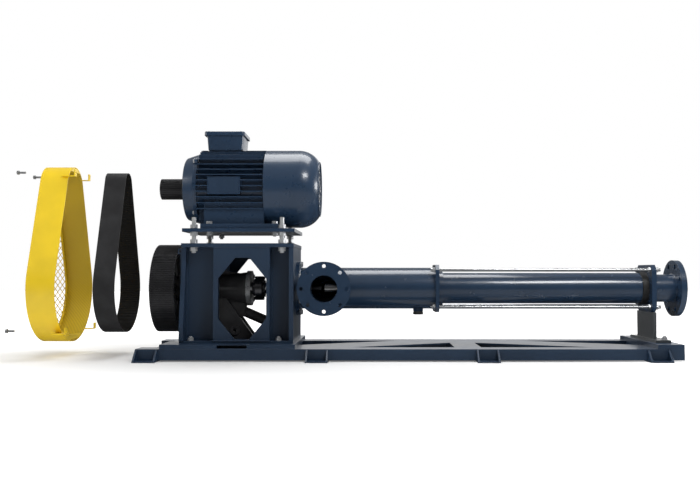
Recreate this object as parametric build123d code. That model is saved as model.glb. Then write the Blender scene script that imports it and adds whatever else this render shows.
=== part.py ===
from build123d import *
import math
import os

# Progressive cavity pump with a belt drive, on a welded skid.
# +X runs from the drive end to the discharge, +Y to the rear, +Z up. The origin is on the floor, below
# the crossing of the pump's axis and the suction branch. All sizes are in millimetres.
# The belt and its guard stand pulled off the pulleys, to the left, with the guard's bolts further out.

# ---- driving dimensions ---------------------------------------------------------------------------
SHAFT_Z = 325.0          # pump axis over the floor
MOTOR_Z = 804.0          # motor axis over the floor, with its plate at the lowest
FLOOR_PLAY = 0.5         # radial play of a bolt in its hole

# skid
SOLE_T = 6.0
RAIL_H = 50.0
RAIL_W = 100.0
CHANNEL_T = 6.0
SKID_Y = 285.0           # half width over the rails
SKID_X0 = -842.0
SKID_X1 = 1626.0
STATION_X = [-792.0, -25.0, 742.0, 1509.0]
SOLE_HALF = 50.0
FOOT_Y = 340.0           # half length of a sole bar
RIB_T = 8.0
ANCHOR_Y = 315.0
ANCHOR_R = 9.0
RAIL_TOP = SOLE_T + RAIL_H
DECK_Y = SKID_Y - RAIL_W
CROSS_X = [(-770.0, -670.0), (-230.0, -130.0), (603.0, 725.0)]
END_BEAM_X = (1506.0, SKID_X1)
BED_X = (-734.0, -124.0)
BED_NOTCH = (-696.0, 90.0)   # how far in and how wide the guard's clearance is
BED_T = 20.0
BED_TOP = RAIL_TOP + BED_T

# pedestal
PED_X0 = -664.0
PED_X1 = -140.0
PED_Y = 205.0            # half depth of the walls at the top
PED_HEAD_Y = 150.0       # half depth of the left wall at its head
WALL_T = 20.0
PED_FLOOR_T = 10.0
PED_FLOOR_TOP = BED_TOP + PED_FLOOR_T
WALL_TOP = 517.0
TOP_T = 18.0
TOP_Z = WALL_TOP + TOP_T
TOP_X = (-656.0, -138.0)
WEB_Y = 130.0            # outer face of the recessed webs
SHEET_T = 8.0
WINDOW_X = (-486.0, -264.0)
WINDOW_Z = (93.0, 468.0)
WINDOW_CUT = (78.0, 96.0)
POST_X = (-508.0, -249.0)
POST_Y = 98.0            # inner edge of the window posts

# motor plate and adjusters
PLATE_X = (-652.0, -134.0)
PLATE_Y = 210.0
PLATE_Z = (588.0, 604.0)
STUD_X = (-601.0, -194.0)
STUD_Y = 190.0
STUD_R = 10.0
STUD_TOP = 656.0
NUT20 = (30.0, 18.0)     # across flats, height
RAISE = 25.6             # travel of the motor plate that tightens the belt

# belt drive
PITCH = 10.0
DRIVE_TEETH = 132
MOTOR_TEETH = 32
BELT_TEETH = 188
DRIVE_PITCH_R = DRIVE_TEETH * PITCH / (2 * math.pi)
MOTOR_PITCH_R = MOTOR_TEETH * PITCH / (2 * math.pi)
RIM_BELOW_PITCH = 1.0
GROOVE_DEPTH = 3.2
GROOVE_HALF = (3.4, 2.4)          # half width at the rim and at the floor
BELT_INSIDE = 0.4                 # belt body's inner face below the pitch line
BELT_OUTSIDE = 1.8
TOOTH_H = 2.5
TOOTH_HALF = (2.6, 1.7)           # half width at the root and at the tip
DRIVE_PULLEY_X = (-803.0, -690.0)
MOTOR_PULLEY_X = (-798.0, -687.0)
BELT_W = 100.0
BELT_OFF = 264.0                  # how far the belt stands off its running place
BELT_HOME_X = -796.0

# guard
GUARD_DEPTH = 131.0
GUARD_HOME_X = -831.0
GUARD_OFF = 519.0
GUARD_R_TOP = 107.0
GUARD_R_LOW = 256.0
GUARD_T = 3.0
FACE_BORDER = 24.0
MESH_PITCH = (56.0, 44.0)
MESH_STRAND = 7.0
EAR_T = 4.0
EAR_GAP = 0.3
EAR_REACH = 31.7
TOP_BOLT = (95.0, 874.0)
LOW_BOLT = (197.0, 131.0)
BOLT10 = (5.0, 17.0, 7.0, 10.0, 2.0, 31.0)   # shank radius, flats, head, washer radius, washer, shank
BOLT_OFF = 785.0

# bearing unit
HOUSING_X = (-664.0, -379.0)
BEARING_X = [(-652.0, -630.0), (-415.0, -393.0)]
BEARING_R = (30.0, 38.0, 48.0, 55.0)
ROLLER_R = 4.6
ROLLER_COUNT = 14
COVER_X = (-379.0, -357.0)
COVER_R = 84.0
SHAFT_R = 30.0
PULLEY_SEAT_R = 25.0
PLUG_SHAFT_R = 25.0
COUPLING_X = (-350.0, -322.0, -294.0)        # left end, joint face, right end
COUPLING_R = 58.0
COUPLING_HUB_R = 39.0

# shaft seal
BOX_X = (-262.0, -122.0)
BOX_R = 60.0
PACKING_R = 37.0

# pump
HOUSING_R = 99.0
HOUSING_BORE_R = 91.0
SUCTION_Y = -200.0
SUCTION_BORE_R = 62.5
SUCTION_PIPE_R = 70.0
SUCTION_FLANGE = (125.0, 22.0, 105.0, 9.0)   # radius, thickness, bolt circle radius, hole radius
INLET_FLANGE_X = (522.0, 540.0)
STATOR_X = (540.0, 1541.0)
STATOR_R = (66.0, 74.0)
OUTLET_FLANGE_X = (1541.0, 1563.0)
SQUARE_HALF = 112.0
SQUARE_CUT = 24.0
TIE_AT = 88.0
TIE_R = 8.0
NUT16 = (24.0, 13.0)
DISCHARGE_X = (1563.0, 1674.0, 1700.0)
DISCHARGE_PIPE_R = (62.5, 66.5)
DISCHARGE_FLANGE = (135.0, 110.0, 13.0)      # radius, bolt circle radius, hole radius
FLANGE_HOLES = 8

# eccentric screw
ECCENTRICITY = 10.0
ROTOR_R = 29.0
SLOT_R = 30.5
ROTOR_PITCH = 125.0
ROTOR_X = (536.0, 1548.5)
JOINT_A_X = 45.0
JOINT_B_X = 485.0
ROD_R = 20.0
HEAD_R = 40.0
HEAD_BORE_R = 28.0
PIN_R = 9.0

# motor
SHOULDER_X = -685.0
FRAME_X = (-600.0, -285.0)
FAN_END_X = -33.0
CORE_R = (141.0, 152.0)
FIN_TIP_R = 187.0
FIN_STEP = 26.0
FIN_T = 5.0
COVER_T = 3.0
FOOT_X = (-572.0, -212.5)
FOOT_BOLT_X = (-536.0, -231.0)
FOOT_BOLT_Y = 159.0
FOOT_EDGE_Y = 194.0
FOOT_T = 22.0
BOX_HALF_Y = 88.0
TERMINAL_X = (-565.0, -391.0)
TERMINAL_Z = (985.0, 1053.0, 1073.0)
PLATE_PAD_X = (-542.0, -391.0)
PLATE_PAD_Z = (764.0, 845.0)


# ---- shapes ---------------------------------------------------------------------------------------
def block(x, y, z):
    """A box between three pairs of coordinates."""
    centre = Pos((x[0] + x[1]) / 2, (y[0] + y[1]) / 2, (z[0] + z[1]) / 2)
    return centre * Box(x[1] - x[0], y[1] - y[0], z[1] - z[0])


def rod_x(x0, x1, radius, y=0.0, z=SHAFT_Z):
    return Pos((x0 + x1) / 2, y, z) * Rot(0, 90, 0) * Cylinder(radius, x1 - x0)


def rod_y(y0, y1, radius, x=0.0, z=SHAFT_Z):
    return Pos(x, (y0 + y1) / 2, z) * Rot(90, 0, 0) * Cylinder(radius, y1 - y0)


def rod_z(z0, z1, radius, x=0.0, y=0.0):
    return Pos(x, y, (z0 + z1) / 2) * Cylinder(radius, z1 - z0)


def ring_x(x0, x1, outer, inner, y=0.0, z=SHAFT_Z):
    return rod_x(x0, x1, outer, y, z) - rod_x(x0 - 1, x1 + 1, inner, y, z)


def hex_x(x0, x1, flats, y, z):
    face = Plane.YZ.offset(x0) * Pos(y, z) * RegularPolygon(flats / 2, 6, major_radius=False)
    return extrude(face, amount=x1 - x0)


def hex_z(z0, z1, flats, x, y):
    face = Plane.XY.offset(z0) * Pos(x, y) * RegularPolygon(flats / 2, 6, major_radius=False)
    return extrude(face, amount=z1 - z0)


def nut_x(x0, x1, flats, bore, y, z):
    return hex_x(x0, x1, flats, y, z) - rod_x(x0 - 1, x1 + 1, bore, y, z)


def nut_z(z0, z1, flats, bore, x, y):
    return hex_z(z0, z1, flats, x, y) - rod_z(z0 - 1, z1 + 1, bore, x, y)


def plate_x(x0, x1, outline):
    """A plate across X, from an outline of (y, z) points."""
    return extrude(Plane.YZ.offset(x0) * make_face(Polyline(*outline, close=True)), amount=x1 - x0)


def plate_y(y0, y1, outline):
    """A plate across Y, from an outline of (x, z) points."""
    side = Plane(origin=(0, y1, 0), x_dir=(1, 0, 0), z_dir=(0, -1, 0))
    return extrude(side * make_face(Polyline(*outline, close=True)), amount=y1 - y0)


def plate_z(z0, z1, outline):
    """A plate across Z, from an outline of (x, y) points."""
    return extrude(Plane.XY.offset(z0) * make_face(Polyline(*outline, close=True)), amount=z1 - z0)


def turned(profile, y=0.0, z=SHAFT_Z):
    """A solid turned about an axis along X, from (x, radius) points or a list of edges."""
    edges = [Polyline(*profile, close=True)] if isinstance(profile[0], tuple) else profile
    return Pos(0, y, z) * revolve(Plane.XZ * make_face(edges), Axis.X, 360)


def mirrored_y(shape):
    return mirror(shape, about=Plane.XZ)


def both_sides(shape):
    """The shape and its twin on the other side of the pump's axis."""
    return [shape, mirrored_y(shape)]


def circle_points(radius, count, start_deg, y=0.0, z=SHAFT_Z):
    turn = [math.radians(start_deg + 360.0 * k / count) for k in range(count)]
    return [(y + radius * math.cos(a), z + radius * math.sin(a)) for a in turn]


def two_circle_outline(low_r, top_r, low_z, top_z):
    """A closed teardrop around two circles on the middle plane, drawn in (y, z)."""
    tilt = math.degrees(math.asin((low_r - top_r) / (top_z - low_z)))
    low = CenterArc((0, low_z), low_r, 180 - tilt, 180 + 2 * tilt)
    top = CenterArc((0, top_z), top_r, tilt, 180 - 2 * tilt)
    return make_face([low, Line(low @ 1, top @ 0), top, Line(top @ 1, low @ 0)])


# ---- skid -----------------------------------------------------------------------------------------
def channel(x, y, z, along_x):
    """A channel laid web up: its two flanges stand on the lower face."""
    inner_x = (x[0] - 1, x[1] + 1) if along_x else (x[0] + CHANNEL_T, x[1] - CHANNEL_T)
    inner_y = (y[0] + CHANNEL_T, y[1] - CHANNEL_T) if along_x else (y[0] - 1, y[1] + 1)
    return block(x, y, z) - block(inner_x, inner_y, (z[0] - 1, z[1] - CHANNEL_T))


def deck_diagonal(x0, x1, rising):
    """A broad flat tie across one bay, from rail to rail, which leaves a triangle open on each side."""
    along, across = 258.0, 123.0
    edge = DECK_Y
    outline = [(x0, -edge), (x0 + along, -edge), (x1, edge - across), (x1, edge),
               (x1 - along, edge), (x0, -edge + across)]
    if not rising:
        outline = [(x, -y) for x, y in outline]
    return plate_z(RAIL_TOP - CHANNEL_T, RAIL_TOP, outline)


def skid():
    low, high = SOLE_T, RAIL_TOP
    rail = channel((SKID_X0, SKID_X1), (-SKID_Y, -DECK_Y), (low, high), True)
    cross = [channel(x, (-DECK_Y, DECK_Y), (low, high), False) for x in CROSS_X + [END_BEAM_X]]
    soles = []
    gussets = []
    for x in STATION_X:
        sole = block((x - SOLE_HALF, x + SOLE_HALF), (-FOOT_Y, FOOT_Y), (0, SOLE_T))
        for y in (-ANCHOR_Y, ANCHOR_Y):
            sole -= rod_z(-1, SOLE_T + 1, ANCHOR_R, x, y)
        soles.append(sole)
        rib = [(-SKID_Y, low), (-FOOT_Y + 2, low), (-SKID_Y - 3, high - 3), (-SKID_Y, high - 3)]
        for side in (-SOLE_HALF, SOLE_HALF - RIB_T):
            gussets += both_sides(plate_x(x + side, x + side + RIB_T, rib))
    beam = block(END_BEAM_X, (-SKID_Y, SKID_Y), (high, BED_TOP))
    bed = block(BED_X, (-SKID_Y, SKID_Y), (RAIL_TOP, BED_TOP))
    bed -= block((BED_X[0] - 1, BED_NOTCH[0]), (-BED_NOTCH[1], BED_NOTCH[1]), (RAIL_TOP - 1, BED_TOP + 1))
    slot_x, slot_z, slot_depth = (-476.0, -340.0), (59.0, 73.0), 80.0
    for y in ((-SKID_Y - 1, -SKID_Y + slot_depth), (SKID_Y - slot_depth, SKID_Y + 1)):
        bed -= block(slot_x, y, slot_z)
    for x, y in foot_bolt_places():
        bed -= rod_z(RAIL_TOP - 1, BED_TOP + 1, TIE_R + FLOOR_PLAY, x, y)
    return {
        "skid_rails": both_sides(rail),
        "skid_cross_members": cross + [deck_diagonal(CROSS_X[1][1], CROSS_X[2][0], True),
                                       deck_diagonal(CROSS_X[2][1], END_BEAM_X[0], False)],
        "skid_end_plate": [beam],
        "skid_feet": soles + gussets,
        "pedestal_bed_plate": [bed],
    }


# ---- pedestal -------------------------------------------------------------------------------------
def foot_bolt_places():
    return [(x, y) for x in (-618.0, -211.0) for y in (-170.0, 170.0)]


def window_outline():
    (x0, x1), (z0, z1), (cx, cz) = WINDOW_X, WINDOW_Z, WINDOW_CUT
    return [(x0 + cx, z0), (x1 - cx, z0), (x1, z0 + cz), (x1, z1 - cz),
            (x1 - cx, z1), (x0 + cx, z1), (x0, z1 - cz), (x0, z0 + cz)]


def window_frame():
    """Front frame: two recessed webs, two deep posts and the plate with the eight-sided window."""
    z = (PED_FLOOR_TOP, WALL_TOP)
    left, right = POST_X
    web_y = (-WEB_Y, -WEB_Y + SHEET_T)
    frame = block((left, right), (-PED_Y, -PED_Y + SHEET_T), z)
    frame -= plate_y(-PED_Y - 1, -PED_Y + SHEET_T + 1, window_outline())
    for x in ((left, left + SHEET_T), (right - SHEET_T, right)):
        frame += block(x, (-PED_Y, -POST_Y), z)
    frame += block((PED_X0 + WALL_T, left), web_y, z)
    frame += block((right, PED_X1 - WALL_T), web_y, z)
    return frame


def pedestal():
    floor = block((PED_X0, PED_X1), (-PED_Y, PED_Y), (BED_TOP, PED_FLOOR_TOP))
    top = block(TOP_X, (-PLATE_Y, PLATE_Y), (WALL_TOP, TOP_Z))
    for x in STUD_X:
        for y in (-STUD_Y, STUD_Y):
            top -= rod_z(WALL_TOP - 1, TOP_Z + 1, STUD_R + FLOOR_PLAY, x, y)
    bolts = []
    for x, y in foot_bolt_places():
        floor -= rod_z(BED_TOP - 1, PED_FLOOR_TOP + 1, TIE_R + FLOOR_PLAY, x, y)
        head_z = PED_FLOOR_TOP + 3
        bolt = rod_z(RAIL_TOP + 2, head_z + 16, TIE_R, x, y)
        bolt += rod_z(PED_FLOOR_TOP, head_z, 15, x, y) + hex_z(head_z, head_z + 10, NUT16[0], x, y)
        bolts.append(bolt)

    foot_y = PED_Y + 6
    left_outline = [(-foot_y, PED_FLOOR_TOP), (foot_y, PED_FLOOR_TOP), (foot_y, LOW_BOLT[1] + 20),
                    (PED_HEAD_Y, WALL_TOP), (-PED_HEAD_Y, WALL_TOP), (-foot_y, LOW_BOLT[1] + 20)]
    left = plate_x(PED_X0, PED_X0 + WALL_T, left_outline)
    left -= rod_x(PED_X0 - 1, PED_X0 + WALL_T + 1, 70.2)
    for y in (-LOW_BOLT[0], LOW_BOLT[0]):
        left -= rod_x(PED_X0 - 1, PED_X0 + WALL_T + 1, BOLT10[0] + 0.4, y, LOW_BOLT[1])
    pad = block((PED_X0 - 12, PED_X0), (-140, 140), (150, 500)) - rod_x(PED_X0 - 13, PED_X0 + 1, 80)
    lug = block((PED_X0 - 20, PED_X0), (-PED_HEAD_Y + 1, -PED_HEAD_Y + 7), (486, 512))
    lug -= rod_y(-PED_HEAD_Y, -PED_HEAD_Y + 8, 5.5, PED_X0 - 10, 499)
    right = block((PED_X1 - WALL_T, PED_X1), (-PED_Y, PED_Y), (PED_FLOOR_TOP, WALL_TOP))
    right -= rod_x(PED_X1 - WALL_T - 1, PED_X1 + 1, BOX_R + 0.2)
    for y, z in circle_points(HOUSING_R + 16, 6, 30):
        right -= rod_x(PED_X1 - WALL_T - 1, PED_X1 + 1, TIE_R + FLOOR_PLAY, y, z)
    front = window_frame()
    studs = []
    low_nuts = []
    for x in STUD_X:
        for y in (-STUD_Y, STUD_Y):
            studs.append(rod_z(WALL_TOP - 26, STUD_TOP, STUD_R, x, y))
            low_nuts.append(nut_z(TOP_Z, TOP_Z + NUT20[1], NUT20[0], STUD_R, x, y))
            low_nuts.append(nut_z(WALL_TOP - NUT20[1], WALL_TOP, NUT20[0], STUD_R, x, y))
    return {
        "pedestal_floor_plate": [floor],
        "pedestal_left_wall": [left, pad] + both_sides(lug),
        "pedestal_right_wall": [right],
        "pedestal_front_frame": [front],
        "pedestal_rear_frame": [mirrored_y(front)],
        "pedestal_top_plate": [top],
        "frame_bolts": bolts,
        "adjuster_studs": studs + low_nuts,
    }


# ---- bearing unit and drive line ------------------------------------------------------------------
def bearing_unit():
    x0, x1 = HOUSING_X
    seat, relief = BEARING_R[3], BEARING_R[3] - 5
    wall_x = PED_X0 + WALL_T
    housing = turned([
        (x0, seat), (x0, 70), (wall_x, 70), (wall_x, 96), (wall_x + 16, 96), (wall_x + 22, 64),
        (-540, 60), (-440, 68), (x1 - 14, 76), (x1, 76), (x1, seat), (BEARING_X[1][0] - 2, seat),
        (BEARING_X[1][0] - 2, relief), (BEARING_X[0][1] + 2, relief), (BEARING_X[0][1] + 2, seat)])
    for turn in range(4):
        rib = block((wall_x + 10, x1 - 20), (-6, 6), (SHAFT_Z + 58, SHAFT_Z + 92))
        rib -= plate_y(-10, 10, [(wall_x + 60, SHAFT_Z + 100), (x1, SHAFT_Z + 100), (x1, SHAFT_Z + 66)])
        housing += Pos(0, 0, SHAFT_Z) * Rot(90 * turn, 0, 0) * Pos(0, 0, -SHAFT_Z) * rib
    low = PED_FLOOR_TOP
    leg = plate_y(-52, -30, [(-566, SHAFT_Z - 48), (-474, SHAFT_Z - 48), (-345, low + 12), (-345, low),
                             (-452, low)])
    leg = leg + rod_y(-62, -28, 23, -432, low + 40) - rod_y(-63, -27, 9, -432, low + 40)
    brace = (Vector(-425, 0, 226), Vector(PED_X1 - WALL_T + 8, 0, 108))
    run = brace[1] - brace[0]
    prop = Plane(origin=brace[0], z_dir=run) * Pos(0, 0, run.length / 2) * Cylinder(24, run.length)
    prop += block((PED_X1 - WALL_T - 10, PED_X1 - WALL_T), (-45, 45), (low + 4, low + 90))
    prop += block((-459, -386), (-26, 26), (190, SHAFT_Z - 60))
    prop -= rod_x(wall_x, x1, 62)
    prop -= rod_x(x1, x1 + 80, COVER_R + 1)
    prop -= block((PED_X1 - WALL_T, PED_X1 + 30), (-60, 60), (low, 200))
    shell = housing + [leg, mirrored_y(leg)] + prop
    shell -= rod_x(x0 - 1, x1 + 1, relief)
    cap = ring_x(x0 - 12, x0, 70, SHAFT_R + 0.6)
    cover = ring_x(COVER_X[0], COVER_X[1], COVER_R, SHAFT_R + 1)
    screws = []
    for y, z in circle_points(66, 6, 0):
        cover -= rod_x(COVER_X[0] - 1, COVER_X[1] + 1, BOLT10[0] + 0.3, y, z)
        shell -= rod_x(x1 - 26, x1 + 1, BOLT10[0] + 0.3, y, z)
        screws.append(rod_x(x1 - 20, COVER_X[1], BOLT10[0], y, z)
                      + hex_x(COVER_X[1], COVER_X[1] + BOLT10[2], BOLT10[1], y, z))
    inner_r, race_in, race_out, outer_r = BEARING_R
    rollers = []
    for a, b in BEARING_X:
        for y, z in circle_points((race_in + race_out) / 2, ROLLER_COUNT, 0):
            rollers.append(rod_x(a + 4, b - 4, ROLLER_R, y, z))
    return {
        "bearing_housing": [shell, cap],
        "bearing_cover": [cover],
        "frame_bolts": screws,
        "bearing_outer_rings": [ring_x(a, b, outer_r, race_out) for a, b in BEARING_X],
        "bearing_inner_rings": [ring_x(a, b, race_in, inner_r) for a, b in BEARING_X],
        "bearing_rollers": rollers,
    }


def toothed_outline(teeth, pitch_r, groove_deg):
    """Outline of a pulley's rim in (y, z), round the origin, with a groove at the angle given."""
    rim = pitch_r - RIM_BELOW_PITCH
    floor = rim - GROOVE_DEPTH
    corners = ((rim, -GROOVE_HALF[0]), (floor, -GROOVE_HALF[1]), (floor, GROOVE_HALF[1]),
               (rim, GROOVE_HALF[0]))
    points = []
    for k in range(teeth):
        middle = math.radians(groove_deg) + 2 * math.pi * k / teeth
        for radius, half in corners:
            angle = middle + half / radius
            points.append((radius * math.cos(angle), radius * math.sin(angle)))
    return points


def drive_line():
    x0, x1 = DRIVE_PULLEY_X
    rim = Pos(0, 0, SHAFT_Z) * plate_x(x0, x1, toothed_outline(DRIVE_TEETH, DRIVE_PITCH_R, -90))
    rim -= rod_x(x0 - 1, x1 + 1, 188)
    arm_x = (x1 - 52, x1 - 24)
    spoke = block(arm_x, (-17, 17), (SHAFT_Z + 50, SHAFT_Z + 189))
    pulley = rim + rod_x(x0 + 6, x1, 62)
    for k in range(6):
        pulley += Pos(0, 0, SHAFT_Z) * Rot(60 * k + 30, 0, 0) * Pos(0, 0, -SHAFT_Z) * spoke
    pulley -= rod_x(x0, x1 + 1, PULLEY_SEAT_R)
    left, face, right = COUPLING_X
    shaft = turned([(x0, 0), (x0, PULLEY_SEAT_R), (x1, PULLEY_SEAT_R), (x1, SHAFT_R), (left, SHAFT_R),
                    (left, COUPLING_HUB_R), (face - 16, COUPLING_HUB_R), (face - 16, COUPLING_R),
                    (face, COUPLING_R), (face, 0)])
    head_x = (JOINT_A_X - 50, JOINT_A_X + 33)
    plug = turned([(face, 0), (face, COUPLING_R), (face + 16, COUPLING_R), (face + 16, COUPLING_HUB_R),
                   (right, COUPLING_HUB_R), (right, PLUG_SHAFT_R), (head_x[0] - 16, PLUG_SHAFT_R),
                   (head_x[0], HEAD_R), (head_x[1], HEAD_R), (head_x[1], HEAD_BORE_R),
                   (JOINT_A_X - 24, HEAD_BORE_R), (JOINT_A_X - 24, 0)])
    bolts = []
    for y, z in circle_points(50, 6, 15):
        for part_x in ((face - 17, face), (face, face + 17)):
            hole = rod_x(part_x[0], part_x[1], BOLT10[0], y, z)
            if part_x[1] == face:
                shaft -= hole
            else:
                plug -= hole
        bolts.append(rod_x(face - 16, face + 16, BOLT10[0], y, z)
                     + hex_x(face - 24, face - 16, BOLT10[1], y, z)
                     + hex_x(face + 16, face + 25, BOLT10[1], y, z))
    pin_half = HEAD_R - 1
    plug -= rod_z(SHAFT_Z - HEAD_R - 2, SHAFT_Z + HEAD_R + 2, PIN_R, JOINT_A_X, 0)
    pin = rod_z(SHAFT_Z - pin_half, SHAFT_Z + pin_half, PIN_R, JOINT_A_X, 0)
    return {
        "drive_pulley": [pulley],
        "drive_shaft": [shaft],
        "coupling_bolts": bolts,
        "plug_in_shaft": [plug, pin],
    }


# ---- shaft seal -----------------------------------------------------------------------------------
def shaft_seal():
    x0, x1 = BOX_X
    flange_x = (PED_X1 - WALL_T - 18, PED_X1 - WALL_T)
    box = turned([(x0, PACKING_R), (x0, BOX_R), (flange_x[0], BOX_R), (flange_x[0], 84), (flange_x[1], 84),
                  (flange_x[1], BOX_R), (x1, BOX_R), (x1, PLUG_SHAFT_R + 1), (x1 - 12, PLUG_SHAFT_R + 1),
                  (x1 - 12, PACKING_R)])
    pitch = 15.0
    packing = [ring_x(x1 - 12 - pitch * (k + 1) + 1, x1 - 12 - pitch * k, PACKING_R, PLUG_SHAFT_R + 0.5)
               for k in range(6)]
    follower = turned([(x0 - 14, PLUG_SHAFT_R + 1), (x0 - 14, 62), (x0, 62), (x0, PACKING_R - 0.5),
                       (x0 + 30, PACKING_R - 0.5), (x0 + 30, PLUG_SHAFT_R + 1)])
    studs = []
    for y in (-52.0, 52.0):
        box -= rod_x(x0 - 1, x0 + 30, 6, y)
        follower -= rod_x(x0 - 15, x0 + 1, 6.5, y)
        studs.append(rod_x(x0 - 27, x0 + 29, 6, y))
        studs.append(nut_x(x0 - 24, x0 - 14, 18, 6, y, SHAFT_Z))
    return {"stuffing_box": [box], "packing_rings": packing, "gland_follower": [follower],
            "gland_studs": studs}


# ---- pump -----------------------------------------------------------------------------------------
def drilled_x(shape, x, radius, hole_r, count, start_deg):
    for y, z in circle_points(radius, count, start_deg):
        shape -= rod_x(x[0] - 1, x[1] + 1, hole_r, y, z)
    return shape


def square_flange(x, bore):
    h, c = SQUARE_HALF, SQUARE_CUT
    outline = [(h - c, -h), (h, c - h), (h, h - c), (h - c, h), (c - h, h), (-h, h - c), (-h, c - h),
               (c - h, -h)]
    flange = Pos(0, 0, SHAFT_Z) * plate_x(x[0], x[1], outline)
    flange -= rod_x(x[0] - 1, x[1] + 1, bore)
    for y, z in tie_places():
        flange -= rod_x(x[0] - 1, x[1] + 1, TIE_R + FLOOR_PLAY, y, z)
    return flange


def tie_places():
    return [(y, SHAFT_Z + z) for y in (-TIE_AT, TIE_AT) for z in (-TIE_AT, TIE_AT)]


def suction_housing():
    """Suction chamber: a barrel with an end plate, the suction branch to the front and a drain boss."""
    end_x = (PED_X1, PED_X1 + 18)
    radius, thick, circle_r, hole_r = SUCTION_FLANGE
    barrel = rod_x(PED_X1, INLET_FLANGE_X[0], HOUSING_R) + rod_x(end_x[0], end_x[1], HOUSING_R + 31)
    barrel += rod_y(SUCTION_Y, 0, SUCTION_PIPE_R)
    barrel += rod_y(SUCTION_Y, SUCTION_Y + thick, radius)
    drain_x, boss_low = 445.0, SHAFT_Z - HOUSING_R - 12
    barrel += rod_z(boss_low, SHAFT_Z - HOUSING_BORE_R, 24, drain_x, 0)
    barrel -= rod_x(end_x[1], INLET_FLANGE_X[0] + 1, HOUSING_BORE_R)
    barrel -= rod_y(SUCTION_Y - 1, 0, SUCTION_BORE_R)
    barrel -= rod_x(end_x[0] - 1, end_x[1] + 1, BOX_R + 0.2)
    barrel -= rod_z(boss_low - 1, SHAFT_Z - HOUSING_BORE_R + 8, 11, drain_x, 0)
    for x, z in circle_points(circle_r, FLANGE_HOLES, 0, 0.0, SHAFT_Z):
        barrel -= rod_y(SUCTION_Y - 1, SUCTION_Y + thick + 1, hole_r, x, z)
    bolts = []
    for y, z in circle_points(HOUSING_R + 16, 6, 30):
        barrel -= rod_x(end_x[0] - 1, end_x[1] + 1, TIE_R + FLOOR_PLAY, y, z)
        bolts.append(rod_x(PED_X1 - WALL_T - 14, end_x[1], TIE_R, y, z)
                     + hex_x(end_x[1], end_x[1] + 10, NUT16[0], y, z))
        bolts.append(nut_x(PED_X1 - WALL_T - 13, PED_X1 - WALL_T, NUT16[0], TIE_R, y, z))
    plug = rod_z(boss_low, boss_low + 22, 11, drain_x, 0)
    plug += rod_z(boss_low - 3, boss_low, 22, drain_x, 0) + hex_z(boss_low - 16, boss_low - 3, 42, drain_x, 0)
    return {"suction_housing": [barrel], "frame_bolts": bolts, "drain_plug": [plug]}


def twisted(face, x, turns):
    """A prism along X whose section turns as it goes."""
    local = Solid.extrude_linear_with_rotation(face, (0, 0, 0), (0, 0, x[1] - x[0]), 360 * turns)
    # the prism stands on the XY plane: +Z is laid along +X and +X along +Y
    return Location(Plane(origin=(x[0], 0, 0), x_dir=(0, 1, 0), z_dir=(1, 0, 0))) * local


def stator():
    length = STATOR_X[1] - STATOR_X[0]
    # the slot's long axis stands at half the sum of the orbit angle and the rotor's phase
    start = 90.0 + 180.0 * (STATOR_X[0] - ROTOR_X[0]) / ROTOR_PITCH
    slot = SlotCenterToCenter(4 * ECCENTRICITY, 2 * SLOT_R, rotation=start).face()
    cavity = Pos(0, 0, SHAFT_Z) * twisted(slot, (STATOR_X[0] - 1, STATOR_X[1] + 1),
                                          (length + 2) / (2 * ROTOR_PITCH))
    lining = rod_x(STATOR_X[0], STATOR_X[1], STATOR_R[0]) - cavity
    tube = ring_x(STATOR_X[0], STATOR_X[1], STATOR_R[1], STATOR_R[0])
    tube += ring_x(STATOR_X[1] - 30, STATOR_X[1], STATOR_R[1] + 6, STATOR_R[1] - 1)
    tube += ring_x(STATOR_X[0], STATOR_X[0] + 22, STATOR_R[1] + 6, STATOR_R[1] - 1)
    rods = []
    nuts = []
    rod_ends = (INLET_FLANGE_X[0] - NUT16[1] - 9, OUTLET_FLANGE_X[1] + NUT16[1] + 12)
    for y, z in tie_places():
        rods.append(rod_x(rod_ends[0], rod_ends[1], TIE_R, y, z))
        for x in (INLET_FLANGE_X[0] - NUT16[1], OUTLET_FLANGE_X[0] - NUT16[1], OUTLET_FLANGE_X[1]):
            nuts.append(nut_x(x, x + NUT16[1], NUT16[0], TIE_R, y, z))
    return {
        "stator_tube": [tube],
        "stator_lining": [lining],
        "stator_inlet_flange": [square_flange(INLET_FLANGE_X, STATOR_R[0])],
        "stator_outlet_flange": [square_flange(OUTLET_FLANGE_X, DISCHARGE_PIPE_R[0])],
        "tie_rods": rods + nuts,
    }


def discharge():
    x0, x1, x2 = DISCHARGE_X
    radius, circle_r, hole_r = DISCHARGE_FLANGE
    branch = rod_x(x0, x1, DISCHARGE_PIPE_R[1]) + rod_x(x1, x2, radius)
    branch -= rod_x(x0 - 1, x2 + 1, DISCHARGE_PIPE_R[0])
    branch = drilled_x(branch, (x1, x2), circle_r, hole_r, FLANGE_HOLES, 22.5)
    foot_x, foot_z = (1530.0, 1600.0), (BED_TOP, BED_TOP + 12)
    upright_x = (OUTLET_FLANGE_X[0] + 2, OUTLET_FLANGE_X[0] + 16)
    support = block(foot_x, (-190, 190), foot_z)
    support += block(upright_x, (-120, 120), (foot_z[1], SHAFT_Z - SQUARE_HALF))
    bolts = []
    for y in (-165.0, 165.0):
        x = 1578.0
        support -= rod_z(foot_z[0] - 1, foot_z[1] + 1, TIE_R + FLOOR_PLAY, x, y)
        head = foot_z[1] + 3
        bolts.append(rod_z(BED_TOP, head + 15, TIE_R, x, y) + rod_z(foot_z[1], head, 15, x, y)
                     + hex_z(head, head + 10, NUT16[0], x, y))
    return {"discharge_branch": [branch], "discharge_support": [support], "frame_bolts": bolts}


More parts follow.
